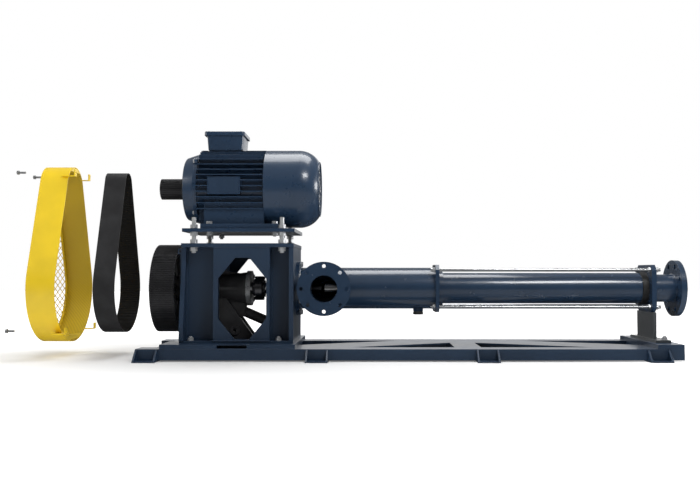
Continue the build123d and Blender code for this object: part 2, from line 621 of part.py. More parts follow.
def running_gear():
    """The coupling rod, its boots and the rotor. At rest the rotor's axis stands over the stator's."""
    tilt = math.degrees(math.atan2(ECCENTRICITY, JOINT_B_X - JOINT_A_X))
    span = math.hypot(ECCENTRICITY, JOINT_B_X - JOINT_A_X)
    place = Pos(JOINT_A_X, 0, SHAFT_Z) * Rot(0, -tilt, 0)
    end_r = 24.0
    rod = rod_x(-16, span + 16, ROD_R, z=0)
    for x in (0.0, span):
        rod += rod_x(x - 19, x + 19, end_r, z=0)
        rod -= rod_z(-end_r - 1, end_r + 1, PIN_R + 2, x, 0)
    boots = []
    for mouth, neck in ((34.0, 76.0), (span - 34.0, span - 76.0)):
        step = 1 if neck > mouth else -1
        boots.append(turned([(mouth, 34), (mouth, 38), (mouth + 14 * step, 38), (mouth + 18 * step, 34),
                             (mouth + 22 * step, 36), (mouth + 28 * step, 28), (mouth + 32 * step, 30),
                             (neck, 26), (neck, ROD_R + 1), (mouth + 26 * step, ROD_R + 1),
                             (mouth + 12 * step, 34)], z=0))
    axis_z = SHAFT_Z + ECCENTRICITY
    head_x = (JOINT_B_X - 33, JOINT_B_X + 36)
    head = turned([(head_x[0], HEAD_BORE_R), (head_x[0], HEAD_R), (head_x[1], HEAD_R), (ROTOR_X[0] - 4, 24),
                   (ROTOR_X[0], 19), (ROTOR_X[0], 0), (JOINT_B_X + 24, 0), (JOINT_B_X + 24, HEAD_BORE_R)],
                  z=axis_z)
    head -= rod_z(axis_z - HEAD_R - 2, axis_z + HEAD_R + 2, PIN_R, JOINT_B_X, 0)
    section = (Pos(0, ECCENTRICITY) * Circle(ROTOR_R)).face()
    turns = (ROTOR_X[1] - ROTOR_X[0]) / ROTOR_PITCH
    screw = Pos(0, 0, axis_z) * twisted(section, ROTOR_X, turns)
    pin_half = HEAD_R - 1
    pin = rod_z(axis_z - pin_half, axis_z + pin_half, PIN_R, JOINT_B_X, 0)
    return {
        "coupling_rod": [place * rod],
        "joint_boots": [place * boot for boot in boots],
        "pump_rotor": [head + screw, pin],
    }


# ---- motor ----------------------------------------------------------------------------------------
def fin_span(offset, root_r):
    """Distances from the motor's middle plane at which a fin at this offset starts and ends."""
    return math.sqrt(root_r ** 2 - offset ** 2), math.sqrt(FIN_TIP_R ** 2 - offset ** 2)


def motor_frame():
    x = FRAME_X
    root = CORE_R[1] - 6
    fin_x = (x[0] + 3, x[1] - 3)
    frame = rod_x(x[0], x[1], CORE_R[1], z=MOTOR_Z)
    fins = []
    for k in range(-4, 6):
        offset = FIN_STEP * k
        start, end = fin_span(offset, root)
        z = (MOTOR_Z + offset - FIN_T / 2, MOTOR_Z + offset + FIN_T / 2)
        fins += both_sides(block(fin_x, (-end, -start), z))
    for k in range(-4, 5):
        offset = FIN_STEP * k
        start, end = fin_span(offset, root)
        y = (offset - FIN_T / 2, offset + FIN_T / 2)
        fins.append(block(fin_x, y, (MOTOR_Z + start, MOTOR_Z + end)))
        fins.append(block(fin_x, y, (MOTOR_Z - end, MOTOR_Z - start)))
    frame += fins
    frame += block((TERMINAL_X[0] + 12, TERMINAL_X[1] - 12), (-72, 72), (MOTOR_Z + 130, TERMINAL_Z[0]))
    frame += block(PLATE_PAD_X, (-FIN_TIP_R - 1, -130), PLATE_PAD_Z)
    foot_z = (PLATE_Z[1], PLATE_Z[1] + FOOT_T)
    for side in (-1, 1):
        edge = sorted((side * 120.0, side * FOOT_EDGE_Y))
        frame += block(FOOT_X, edge, foot_z)
        web = sorted((side * 124.0, side * 142.0))
        frame += block((FOOT_X[0] + 6, x[1]), web, (foot_z[1], MOTOR_Z - 60))
        for bx in FOOT_BOLT_X:
            frame -= rod_z(foot_z[0] - 1, foot_z[1] + 1, TIE_R + 1.5, bx, side * FOOT_BOLT_Y)
    frame -= block((TERMINAL_X[0] - 6, TERMINAL_X[1] + 6), (-BOX_HALF_Y - 6, BOX_HALF_Y + 6),
                   (TERMINAL_Z[0], TERMINAL_Z[2]))
    return frame - rod_x(x[0] - 1, x[1] + 1, CORE_R[0], z=MOTOR_Z)


def end_shield():
    outer = [(SHOULDER_X, 33), (SHOULDER_X, 58), (-668, 66), (-655, 80), (-655, 138.5), (-668, 140),
             (-668, 147), (-664, 151), (-640, 159), (-618, 166), (FRAME_X[0], 166)]
    inner = [(FRAME_X[0], CORE_R[0]), (-618, CORE_R[0]), (-633, 120), (-633, 74), (-631, 74), (-631, 62),
             (-657, 62), (-657, 33)]
    shield = turned(outer + inner, z=MOTOR_Z)
    for y in (-TOP_BOLT[0], TOP_BOLT[0]):
        lug_x, slot_x = (PED_X0 + EAR_GAP, -640), (PED_X0 - 1, -634.5)
        slot_r = BOLT10[0] + 0.4
        low = TOP_BOLT[1] - RAISE
        shield += [rod_x(*lug_x, 15, y, low), rod_x(*lug_x, 15, y, TOP_BOLT[1]),
                   block(lug_x, (y - 15, y + 15), (low, TOP_BOLT[1]))]
        shield -= [rod_x(*slot_x, slot_r, y, low), rod_x(*slot_x, slot_r, y, TOP_BOLT[1]),
                   block(slot_x, (y - slot_r, y + slot_r), (low, TOP_BOLT[1]))]
    for y, z in circle_points(172, 4, 45, 0, MOTOR_Z):
        shield += rod_x(FRAME_X[0] - 14, FRAME_X[0], 13, y, z)
    return shield


def fan_cover():
    t = COVER_T
    bend_x, rim_r = -128.0, 132.0
    x0, x1 = FRAME_X[1], FAN_END_X
    outer = TangentArc((bend_x, FIN_TIP_R), (x1, rim_r), tangent=(1, 0))
    inner = TangentArc((bend_x, FIN_TIP_R - t), (x1 - 1.2 * t, rim_r - t), tangent=(1, 0))
    edges = [Line((x0, FIN_TIP_R), (bend_x, FIN_TIP_R)), outer, Line((x1, rim_r), (x1, rim_r - t)),
             Line((x1, rim_r - t), inner @ 1), inner, Line((bend_x, FIN_TIP_R - t), (x0, FIN_TIP_R - t)),
             Line((x0, FIN_TIP_R - t), (x0, FIN_TIP_R))]
    return turned(edges, z=MOTOR_Z)


def fan_grille():
    """A round grille of rings and spokes in the fan cover's end."""
    x = (FAN_END_X - 4, FAN_END_X)
    limit = 132.0 - COVER_T
    parts = [ring_x(x[0], x[1], r, r - 5, 0, MOTOR_Z) for r in (limit, 107, 85, 63, 41)]
    parts.append(rod_x(x[0], x[1] + 3, 20, 0, MOTOR_Z))
    for k in range(8):
        spoke = block((x[0], x[1]), (-3, 3), (MOTOR_Z + 15, MOTOR_Z + limit - 2))
        parts.append(Pos(0, 0, MOTOR_Z) * Rot(45 * k, 0, 0) * Pos(0, 0, -MOTOR_Z) * spoke)
    return parts[0] + parts[1:]


def cooling_fan():
    fan = ring_x(-165, -100, 46, SHAFT_R, 0, MOTOR_Z) + ring_x(-165, -160, 150, 40, 0, MOTOR_Z)
    for k in range(8):
        blade = block((-160, -112), (-2, 2), (MOTOR_Z + 44, MOTOR_Z + 150))
        fan += Pos(0, 0, MOTOR_Z) * Rot(45 * k, 0, 0) * Pos(0, 0, -MOTOR_Z) * blade
    return fan


def motor():
    nut_z_under = PLATE_Z[0] - NUT20[1]
    plate = block(PLATE_X, (-PLATE_Y, PLATE_Y), PLATE_Z)
    nuts = []
    for x in STUD_X:
        for y in (-STUD_Y, STUD_Y):
            plate -= rod_z(PLATE_Z[0] - 1, PLATE_Z[1] + 1, STUD_R + 1, x, y)
            for z in (nut_z_under, PLATE_Z[1]):
                nuts.append(nut_z(z, z + NUT20[1], NUT20[0], STUD_R + 0.4, x, y))
    bolts = []
    for x in FOOT_BOLT_X:
        for y in (-FOOT_BOLT_Y, FOOT_BOLT_Y):
            plate -= rod_z(PLATE_Z[0] - 1, PLATE_Z[1] + 1, TIE_R + FLOOR_PLAY, x, y)
            seat = PLATE_Z[1] + FOOT_T
            bolts.append(rod_z(PLATE_Z[0] - 20, seat + 3, TIE_R, x, y) + rod_z(seat, seat + 3, 15, x, y)
                         + hex_z(seat + 3, seat + 13, NUT16[0], x, y))
            bolts.append(nut_z(PLATE_Z[0] - NUT16[1], PLATE_Z[0], NUT16[0], TIE_R, x, y))
    (tx0, tx1), (tz0, tz1, tz2), wall = TERMINAL_X, TERMINAL_Z, 5.0
    box = block((tx0, tx1), (-BOX_HALF_Y, BOX_HALF_Y), (tz0, tz1))
    box -= block((tx0 + wall, tx1 - wall), (-BOX_HALF_Y + wall, BOX_HALF_Y - wall), (tz0 + wall, tz1 + 1))
    box -= rod_y(BOX_HALF_Y - wall - 1, BOX_HALF_Y + 1, 20, (tx0 + tx1) / 2, (tz0 + tz1) / 2)
    lid = block((tx0 - 11, tx1 + 7), (-BOX_HALF_Y - 7, BOX_HALF_Y + 7), (tz1, tz2))
    lid = chamfer(lid.edges().group_by(Axis.Z)[-1], 5)
    board = block((tx0 + 45, tx1 - 45), (-30, 30), (tz0 + wall, tz0 + wall + 18))
    for x in (-508.0, -478.0, -448.0):
        for y in (-15.0, 15.0):
            board += rod_z(tz0 + wall + 17, tz0 + wall + 34, 4, x, y)
    rear_x = (FRAME_X[1], FRAME_X[1] + 22)
    rear = ring_x(rear_x[0], rear_x[1], 150, 33, 0, MOTOR_Z)
    rear -= rod_x(rear_x[0] - 1, rear_x[1] - 6, 62, 0, MOTOR_Z)
    bearing_x = ((-655.0, -633.0), (rear_x[0], rear_x[1] - 7))
    core_x = (-560.0, -330.0)
    coil_r = (92.0, 136.0)
    coils = [ring_x(core_x[0] - 28, core_x[0], coil_r[1], coil_r[0], 0, MOTOR_Z),
             ring_x(core_x[1], core_x[1] + 28, coil_r[1], coil_r[0], 0, MOTOR_Z)]
    shaft = turned([(MOTOR_PULLEY_X[0], 0), (MOTOR_PULLEY_X[0], 27.5), (SHOULDER_X, 27.5), (SHOULDER_X, 30),
                    (-90, 30), (-90, 0)], z=MOTOR_Z)
    core = ring_x(core_x[0], core_x[1], 85, 30, 0, MOTOR_Z)
    outline = toothed_outline(MOTOR_TEETH, MOTOR_PITCH_R, 90)
    pulley = Pos(0, 0, MOTOR_Z) * plate_x(MOTOR_PULLEY_X[0], MOTOR_PULLEY_X[1], outline)
    pulley -= rod_x(MOTOR_PULLEY_X[0] - 1, MOTOR_PULLEY_X[1] + 1, 27.5, 0, MOTOR_Z)
    tag_y = -FIN_TIP_R - 1
    return {
        "motor_plate": [plate],
        "adjuster_upper_nuts": nuts,
        "motor_foot_bolts": bolts,
        "motor_frame": [motor_frame()],
        "motor_end_shield": [end_shield()],
        "motor_rear_shield": [rear],
        "motor_fan_cover": [fan_cover()],
        "motor_fan_grille": [fan_grille()],
        "terminal_box": [box, board],
        "terminal_box_lid": [lid],
        "rating_plate": [block((PLATE_PAD_X[0] + 6, PLATE_PAD_X[1] - 6), (tag_y - 2, tag_y),
                               (PLATE_PAD_Z[0] + 5, PLATE_PAD_Z[1] - 5))],
        "motor_stator_core": [ring_x(core_x[0], core_x[1], CORE_R[0], 86.5, 0, MOTOR_Z)] + coils,
        "motor_bearings": [ring_x(a, b, 62, 46.5, 0, MOTOR_Z) for a, b in bearing_x],
        "motor_shaft": [shaft] + [ring_x(a, b, 46, 30, 0, MOTOR_Z) for a, b in bearing_x],
        "motor_rotor_core": [core],
        "cooling_fan": [cooling_fan()],
        "motor_pulley": [pulley],
    }


# ---- belt -----------------------------------------------------------------------------------------
def belt_centres():
    """The distance between the axes at which the belt's length just fits, and the spans' tilt."""
    half_loop = BELT_TEETH * PITCH / 2
    low, high = 400.0, 600.0
    for _ in range(60):
        distance = (low + high) / 2
        tilt = math.asin((DRIVE_PITCH_R - MOTOR_PITCH_R) / distance)
        length = DRIVE_PITCH_R * (math.pi / 2 + tilt) + distance * math.cos(tilt) \
            + MOTOR_PITCH_R * (math.pi / 2 - tilt)
        if length < half_loop:
            low = distance
        else:
            high = distance
    return distance, tilt


def belt_point(s, offset):
    """A point (y, z) at the distance s along the pitch line from its lowest point, moved outwards."""
    distance, tilt = belt_centres_found
    half_loop = BELT_TEETH * PITCH / 2
    side = 1
    if s > half_loop:
        s, side = 2 * half_loop - s, -1
    low_arc = DRIVE_PITCH_R * (math.pi / 2 + tilt)
    span = distance * math.cos(tilt)
    if s <= low_arc:
        angle, centre_z, radius, slide = s / DRIVE_PITCH_R - math.pi / 2, SHAFT_Z, DRIVE_PITCH_R, 0.0
    elif s <= low_arc + span:
        angle, centre_z, radius, slide = tilt, SHAFT_Z, DRIVE_PITCH_R, s - low_arc
    else:
        angle = tilt + (s - low_arc - span) / MOTOR_PITCH_R
        centre_z, radius, slide = SHAFT_Z + distance, MOTOR_PITCH_R, 0.0
    reach = radius + offset
    y = reach * math.cos(angle) - slide * math.sin(angle)
    z = centre_z + reach * math.sin(angle) + slide * math.cos(angle)
    return side * y, z


belt_centres_found = belt_centres()


def belt():
    distance = belt_centres_found[0]
    x0 = BELT_HOME_X - BELT_OFF
    outer = two_circle_outline(DRIVE_PITCH_R + BELT_OUTSIDE, MOTOR_PITCH_R + BELT_OUTSIDE, SHAFT_Z,
                               SHAFT_Z + distance)
    corners = ((-TOOTH_HALF[0], 0.0), (-TOOTH_HALF[1], TOOTH_H), (TOOTH_HALF[1], TOOTH_H),
               (TOOTH_HALF[0], 0.0))
    total = BELT_TEETH * PITCH
    inner = [belt_point((k * PITCH + half) % total, -BELT_INSIDE - depth)
             for k in range(BELT_TEETH) for half, depth in corners]
    section = outer - make_face(Polyline(*inner, close=True))
    return {"toothed_belt": [extrude(Plane.YZ.offset(x0) * section, amount=BELT_W)]}


# ---- guard ----------------------------------------------------------------------------------------
def guard_solid(x0, x1, inset):
    outline = two_circle_outline(GUARD_R_LOW - inset, GUARD_R_TOP - inset, SHAFT_Z, MOTOR_Z)
    return extrude(Plane.YZ.offset(x0) * outline, amount=x1 - x0)


def guard_mesh(x0):
    """Expanded metal: a sheet with rows of four-sided openings, inside the face frame."""
    lap = 6.0
    inset = FACE_BORDER - lap
    outline = two_circle_outline(GUARD_R_LOW - inset, GUARD_R_TOP - inset, SHAFT_Z, MOTOR_Z)
    py, pz = MESH_PITCH
    half_y, half_z = (py - MESH_STRAND * 1.4) / 2, (pz - MESH_STRAND) / 2
    tilt = math.asin((GUARD_R_LOW - GUARD_R_TOP) / (MOTOR_Z - SHAFT_Z))

    def clear(y, z):
        """Whether the point lies well inside the sheet."""
        room = FACE_BORDER + 2
        if math.hypot(y, z - SHAFT_Z) < GUARD_R_LOW - room or math.hypot(y, z - MOTOR_Z) < GUARD_R_TOP - room:
            return True
        along = (z - SHAFT_Z) * math.cos(tilt) - abs(y) * math.sin(tilt)
        away = abs(y) * math.cos(tilt) + (z - SHAFT_Z) * math.sin(tilt)
        return 0 < along < (MOTOR_Z - SHAFT_Z) * math.cos(tilt) and away < GUARD_R_LOW - room

    holes = []
    for row in range(-14, 34):
        z = SHAFT_Z + row * pz / 2
        for column in range(-6, 7):
            y = (column + 0.5 * (row % 2)) * py
            corners = [(y - half_y, z), (y, z - half_z), (y + half_y, z), (y, z + half_z)]
            if all(clear(*corner) for corner in corners):
                holes.append(Wire.make_polygon(corners, close=True))
    sheet = Face(outline.face().outer_wire(), holes)
    return extrude(Plane.YZ.offset(x0) * sheet, amount=2.0)


def guard_brackets(x0, x1):
    """Four ears outside the band, each on a shelf, and two stiffening straps inside its mouth."""
    ear_x = (x1 + EAR_REACH, x1 + EAR_REACH + EAR_T)
    ears = []
    shelf_x = (x1 - 30, ear_x[0])
    hull = guard_solid(x0 - 1, x1 + 60, 0)
    ear = block(ear_x, (83, 107), (856, 888))
    hole = rod_x(ear_x[0] - 1, ear_x[1] + 1, 5.5, TOP_BOLT[0], TOP_BOLT[1])
    shelf = block(shelf_x, (84, 107), (856, 860)) - hull
    ears += both_sides(ear - hole + shelf)
    ear = block(ear_x, (183, 211), (116, 147))
    ear -= rod_x(ear_x[0] - 1, ear_x[1] + 1, 5.5, LOW_BOLT[0], LOW_BOLT[1])
    shelf = block(shelf_x, (140, 211), (116, 120)) - hull
    ears += both_sides(ear + shelf)
    inside = guard_solid(x1 - 10, x1 + 1, GUARD_T)
    strap_x = (x1 - EAR_T, x1)
    straps = [block(strap_x, (-90, 90), (887, 905)) & inside, block(strap_x, (-160, 160), (82, 104)) & inside]
    return ears + straps


def guard_bolt(place, x):
    """A bolt and its washer, with the washer's far face at x."""
    shank_r, flats, head, washer_r, washer, shank = BOLT10
    y, z = place
    return rod_x(x - washer, x, washer_r, y, z) + rod_x(x, x + shank, shank_r, y, z) \
        + hex_x(x - washer - head, x - washer, flats, y, z)


def guard():
    x0 = GUARD_HOME_X - GUARD_OFF
    x1 = x0 + GUARD_DEPTH
    band = guard_solid(x0, x1, 0) - guard_solid(x0 - 1, x1 + 1, GUARD_T)
    frame = guard_solid(x0, x0 + GUARD_T, GUARD_T) - guard_solid(x0 - 1, x0 + GUARD_T + 1, FACE_BORDER)
    bolt_x = PED_X0 - EAR_GAP - EAR_T - BOLT_OFF
    return {
        "guard_band": [band + frame],
        "guard_mesh": [guard_mesh(x0 + GUARD_T)],
        "guard_brackets": guard_brackets(x0, x1),
        "guard_bolts": both_sides(guard_bolt(TOP_BOLT, bolt_x)) + both_sides(guard_bolt(LOW_BOLT, bolt_x)),
    }


# ---- output ---------------------------------------------------------------------------------------
def save(name, shapes):
    solids = [solid for shape in shapes for solid in shape.solids()]
    assert all(solid.is_valid for solid in solids), name
    export_step(Compound(children=solids), f"parts/{name}.step")


os.makedirs("parts", exist_ok=True)
fasteners = []
for section in (skid, pedestal, bearing_unit, drive_line, shaft_seal, suction_housing, stator, discharge,
                running_gear, motor, belt, guard):
    for node, shapes in section().items():
        if node == "frame_bolts":
            fasteners += shapes
        else:
            save(node, shapes)
save("frame_bolts", fasteners)
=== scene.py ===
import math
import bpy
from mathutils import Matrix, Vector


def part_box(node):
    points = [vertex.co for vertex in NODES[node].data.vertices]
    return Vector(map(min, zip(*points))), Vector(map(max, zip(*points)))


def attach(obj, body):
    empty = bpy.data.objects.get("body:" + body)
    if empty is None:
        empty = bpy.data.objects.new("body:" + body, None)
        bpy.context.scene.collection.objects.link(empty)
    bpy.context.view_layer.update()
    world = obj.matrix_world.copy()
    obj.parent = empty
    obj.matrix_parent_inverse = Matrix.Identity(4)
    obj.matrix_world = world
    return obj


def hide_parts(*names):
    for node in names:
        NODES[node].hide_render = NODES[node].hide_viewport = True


bl_info = {
    "name": "Progressive cavity pump finishes",
    "version": (1, 0, 0),
    "blender": (4, 5, 0),
    "location": "View3D > Sidebar > Pump",
    "description": "Paints the pump and its drive, and adds mesh, welds and small fittings",
    "category": "Object",
}

import bmesh
import bpy
from bpy.props import FloatProperty, FloatVectorProperty, PointerProperty
from mathutils import Matrix, Vector

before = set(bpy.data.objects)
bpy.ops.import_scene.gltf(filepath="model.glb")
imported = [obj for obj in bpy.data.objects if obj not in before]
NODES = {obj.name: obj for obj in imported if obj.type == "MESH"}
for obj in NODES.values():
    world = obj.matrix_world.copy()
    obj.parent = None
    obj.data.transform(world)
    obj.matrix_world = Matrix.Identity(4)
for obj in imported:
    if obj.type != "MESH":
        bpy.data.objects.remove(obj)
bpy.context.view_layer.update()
SHAFT_Z = sum(corner.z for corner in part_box("stator_tube")) / 2
MOTOR_Z = sum(corner.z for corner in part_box("motor_fan_cover")) / 2

WEB_Y = 0.130                   # outer face of the pedestal's recessed webs
POST_X = (-0.508, -0.249)       # outer faces of the posts beside the pedestal's window
NIPPLE_X = -0.641               # over the bearing at the drive end
STEEL_SHAFT_X = -0.2            # right of this the plug-in shaft is polished
END_RING_LENGTH = 0.031         # the ring at the stator tube's discharge end, coloured like its lining
SHIELD_SCREW_CIRCLE = 0.172
CAP_SCREW_CIRCLE = 0.050
PULLEY_SCREW_CIRCLE = 0.024
EAR_THICK = 0.014               # of the ears that take the end shield's screws
PIPE_BEAD_R = 0.067
SUCTION_BEAD_R = 0.0705
HOUSING_BEAD_R = 0.0995
FLANGE_THICK = (0.022, 0.018, 0.026)  # suction flange, housing end plate, discharge flange
MESH_FLATTENING = 0.6           # the mesh is rolled flatter than its strands are wide
OUTLINE_STEPS = 96

# (place, size, share of the key light's power) of the soft lights
LIGHTS = {
    "key_light": ((1.9, -2.4, 2.9), 1.3, 1.0),
    "top_light": ((0.1, 0.5, 3.2), 2.6, 1.2),
    "end_light": ((3.4, 0.6, 1.2), 1.2, 0.5),
    "left_light": ((-3.4, -1.2, 2.0), 1.4, 0.4),
}
LIGHTS_AIM = (0.2, 0.0, 0.45)
# (height, brightness) of the sky in front of the pump and behind it, from straight down to straight up
SKY_FRONT = ((0.0, 0.45), (0.38, 0.4), (0.45, 0.05), (0.62, 0.05), (0.81, 0.3), (1.0, 0.3))
SKY_BEHIND = ((0.513, 0.05), (0.53, 1.0), (0.66, 1.0), (0.72, 0.1), (0.81, 0.3), (1.0, 0.3))
CAMERA_X, CAMERA_Z = 0.222, 0.398
CAMERA_SHIFT = (-0.0314, 0.0336)
FLOOR_HALF = 14.0


# ---- materials ------------------------------------------------------------------------------------
def add_node(tree, kind, inputs=None, **settings):
    """Adds a node, and links or sets its inputs."""
    node = tree.nodes.new(kind)
    for key, value in settings.items():
        setattr(node, key, value)
    for key, value in (inputs or {}).items():
        if isinstance(value, bpy.types.NodeSocket):
            tree.links.new(value, node.inputs[key])
        else:
            node.inputs[key].default_value = value
    return node


def fill_band(band, stops):
    """Sets a colour ramp's stops from (position, colour) pairs."""
    while len(band.elements) < len(stops):
        band.elements.new(0.5)
    for element, (position, colour) in zip(band.elements, stops):
        element.position = position
        element.color = (*colour[:3], 1.0)


class Recipe:
    """A node tree that is built from left to right, one call per node."""

    def __init__(self, name):
        self.material = bpy.data.materials.new(name)
        self.material.use_nodes = True
        self.tree = self.material.node_tree
        self.shader = self.tree.nodes["Principled BSDF"]
        self.place = self.add("ShaderNodeTexCoord").outputs["Object"]

    def add(self, kind, inputs=None, **settings):
        """Adds a node to this recipe's tree."""
        return add_node(self.tree, kind, inputs, **settings)

    def noise(self, scale, detail=3.0, stretch=None):
        place = self.place
        if stretch:
            place = self.add("ShaderNodeMapping", {"Vector": place, "Scale": stretch}).outputs[0]
        noise = self.add("ShaderNodeTexNoise", {"Vector": place, "Scale": scale, "Detail": detail})
        return noise.outputs["Fac"]

    def ramp(self, factor, stops):
        node = self.add("ShaderNodeValToRGB", {"Fac": factor})
        fill_band(node.color_ramp, stops)
        return node.outputs["Color"]

    def span(self, factor, low, high):
        return self.add("ShaderNodeMapRange", {"Value": factor, "To Min": low, "To Max": high}).outputs[0]

    def set(self, **values):
        for key, value in values.items():
            socket = self.shader.inputs[key.replace("_", " ")]
            if isinstance(value, bpy.types.NodeSocket):
                self.tree.links.new(value, socket)
            else:
                socket.default_value = value

    def relief(self, height, distance, edge=0.0015, strength=1.0):
        """Bump over edges that are rounded by the shading."""
        round_edge = self.add("ShaderNodeBevel", {"Radius": edge}, samples=4).outputs["Normal"]
        bump = self.add("ShaderNodeBump", {"Strength": strength, "Distance": distance, "Height": height,
                                           "Normal": round_edge})
        self.set(Normal=bump.outputs["Normal"])


def shade(colour, factor):
    return tuple(min(1.0, channel * factor) for channel in colour[:3])


def paint(name, colour, roughness, coat=0.25, edge=0.0018):
    """Sprayed enamel: slight cloudiness, a fine orange peel, dust that dulls it here and there."""
    mix = Recipe(name)
    cloud = mix.noise(4.0, 4.0)
    mix.set(Base_Color=mix.ramp(cloud, [(0.3, shade(colour, 0.88)), (0.7, shade(colour, 1.12))]),
            Roughness=mix.span(mix.noise(23.0, 5.0), roughness - 0.06, roughness + 0.08),
            Coat_Weight=coat, Coat_Roughness=0.09)
    mix.relief(mix.noise(420.0, 2.0), 0.00003, edge)
    return mix.material


def mesh_shadow_paint(name, colour, roughness):
    """Enamel painted darker as shade, with slanting darker bands that paint the shadow a mesh casts on it."""
    mix = Recipe(name)
    flat = mix.add("ShaderNodeMapping", {"Vector": mix.place, "Scale": (1.0, 0.0, 1.0)}).outputs[0]
    # slanting waves paint a hatch of mesh shadow on the colour, and also raise a slight bump
    mesh_shadow_lines = mix.add("ShaderNodeTexWave", {"Vector": flat, "Scale": 42.0, "Distortion": 1.5, "Detail": 1.0},
                      bands_direction="DIAGONAL").outputs["Fac"]
    mix.set(Base_Color=mix.ramp(mesh_shadow_lines, [(0.2, shade(colour, 0.9)), (0.8, shade(colour, 1.05))]),
            Roughness=mix.span(mix.noise(23.0, 5.0), roughness - 0.06, roughness + 0.08))
    mix.relief(mesh_shadow_lines, 0.0001, 0.001)
    return mix.material


def metal(name, colour, roughness, grain=(1.0, 1.0, 1.0), edge=0.0006, depth=0.00006, bare=1.0):
    """Bare machined metal: streaks of the tool along the grain and a little tarnish."""
    mix = Recipe(name)
    streak = mix.noise(260.0, 3.0, grain)
    mix.set(Base_Color=mix.ramp(mix.noise(30.0), [(0.3, shade(colour, 0.82)), (0.75, shade(colour, 1.1))]),
            Metallic=bare, Roughness=mix.span(streak, roughness - 0.08, roughness + 0.1))
    mix.relief(streak, depth, edge)
    return mix.material


def casting(name, colour, roughness):
    """Sand-cast iron under a thin coat: a pebbled skin with darker pits."""
    mix = Recipe(name)
    sand = mix.noise(160.0, 6.0)
    mix.set(Base_Color=mix.ramp(mix.noise(18.0, 5.0), [(0.3, shade(colour, 0.7)), (0.7, shade(colour, 1.3))]),
            Roughness=mix.span(sand, roughness - 0.1, roughness + 0.1), Specular_IOR_Level=0.4)
    mix.relief(sand, 0.0006, 0.0025)
    return mix.material


def rubber(name, colour, roughness, scale=300.0):
    """Moulded rubber with a fine matt skin and chalky traces."""
    mix = Recipe(name)
    chalk = mix.noise(14.0, 5.0)
    mix.set(Base_Color=mix.ramp(chalk, [(0.35, shade(colour, 0.8)), (0.75, shade(colour, 1.5))]),
            Roughness=mix.span(mix.noise(40.0), roughness - 0.08, roughness + 0.06), Specular_IOR_Level=0.35)
    mix.relief(mix.noise(scale, 4.0), 0.0002, 0.0004)
    return mix.material


# ---- shapes ---------------------------------------------------------------------------------------
def new_piece(name, bm, body, material, smooth=False):
    """Turns a bmesh into a piece that rides on a body of the pump."""
    bmesh.ops.remove_doubles(bm, verts=bm.verts[:], dist=1e-6)
    bmesh.ops.recalc_face_normals(bm, faces=bm.faces[:])
    mesh = bpy.data.meshes.new(name)
    bm.to_mesh(mesh)
    bm.free()
    piece = bpy.data.objects.new(name, mesh)
    bpy.context.scene.collection.objects.link(piece)
    mesh.materials.append(material)
    if smooth:
        mesh.shade_smooth()
        mesh.set_sharp_from_angle(angle=math.radians(40))
    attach(piece, body)
    return piece


def aim(axis):
    """A turn that lays +Z along the axis given."""
    return Vector((0, 0, 1)).rotation_difference(Vector(axis)).to_matrix().to_4x4()


def add_disc(bm, centre, axis, radius, length, sides=32, top_radius=None):
    """A closed round bar from the centre along the axis."""
    top = radius if top_radius is None else top_radius
    place = Matrix.Translation(Vector(centre)) @ aim(axis) @ Matrix.Translation((0, 0, length / 2))
    return bmesh.ops.create_cone(bm, cap_ends=True, segments=sides, radius1=radius, radius2=top, depth=length,
                                 matrix=place)["verts"]


def add_slab(bm, low, high):
    """A box between two corners."""
    low, high = Vector(low), Vector(high)
    verts = bmesh.ops.create_cube(bm, size=1.0)["verts"]
    bmesh.ops.scale(bm, vec=high - low, verts=verts)
    bmesh.ops.translate(bm, vec=(high + low) / 2, verts=verts)
    return verts


def round_over(bm, edges, width, segments):
    """Rounds the edges given."""
    bmesh.ops.bevel(bm, geom=edges, offset=width, offset_type="OFFSET", segments=segments, profile=0.5,
                    affect="EDGES", clamp_overlap=True, material=-1)


def upright_edges(bm):
    return [edge for edge in bm.edges if abs(edge.verts[0].co.z - edge.verts[1].co.z) > 0.01]


def around(radius, count, start, height):
    """(y, z) of the points spaced evenly round an axis along X."""
    turns = [math.radians(start + 360 * k / count) for k in range(count)]
    return [(radius * math.cos(angle), height + radius * math.sin(angle)) for angle in turns]


def add_turned(bm, profile, centre, axis, steps=48, closed=True):
    """A shape turned from (radius, along) points round the axis through the centre."""
    before = set(bm.verts)
    verts = [bm.verts.new((radius, 0.0, along)) for radius, along in profile]
    pairs = list(zip(verts, verts[1:])) + ([(verts[-1], verts[0])] if closed else [])
    edges = [bm.edges.new(pair) for pair in pairs]
    bmesh.ops.spin(bm, geom=verts + edges, cent=(0, 0, 0), axis=(0, 0, 1), angle=2 * math.pi, steps=steps,
                   use_merge=True)
    made = [vert for vert in bm.verts if vert not in before]
    bmesh.ops.transform(bm, matrix=Matrix.Translation(Vector(centre)) @ aim(axis), verts=made)
    return made


def add_ring(bm, centre, axis, radius, thick, sides=8, steps=48):
    """A round bead that runs once round the axis."""
    turn = [2 * math.pi * k / sides for k in range(sides)]
    profile = [(radius + thick * math.cos(angle), thick * math.sin(angle)) for angle in turn]
    return add_turned(bm, profile, centre, axis, steps)


def add_bead(bm, path, radius, sides=8):
    """A weld bead: a thin bar along a run of points."""
    for start, end in zip(path, path[1:]):
        start, end = Vector(start), Vector(end)
        length = (end - start).length
        if length >= radius:
            add_disc(bm, start, end - start, radius, length, sides)


def recolour(nodes, material):
    for node in nodes:
        mesh = NODES[node].data
        mesh.materials.clear()
        mesh.materials.append(material)


def paint_inner_shade(node, material):
    """Gives the inner side of a loop that runs round both shafts a second material, which paints shade on
    that side.
    """
    mesh = NODES[node].data
    mesh.materials.append(material)
    for face in mesh.polygons:
        out_y, out_z = face.center.y, face.center.z - min(max(face.center.z, SHAFT_Z), MOTOR_Z)
        inward = face.normal.y * out_y + face.normal.z * out_z < -0.2 * math.hypot(out_y, out_z)
        face.material_index = int(inward)


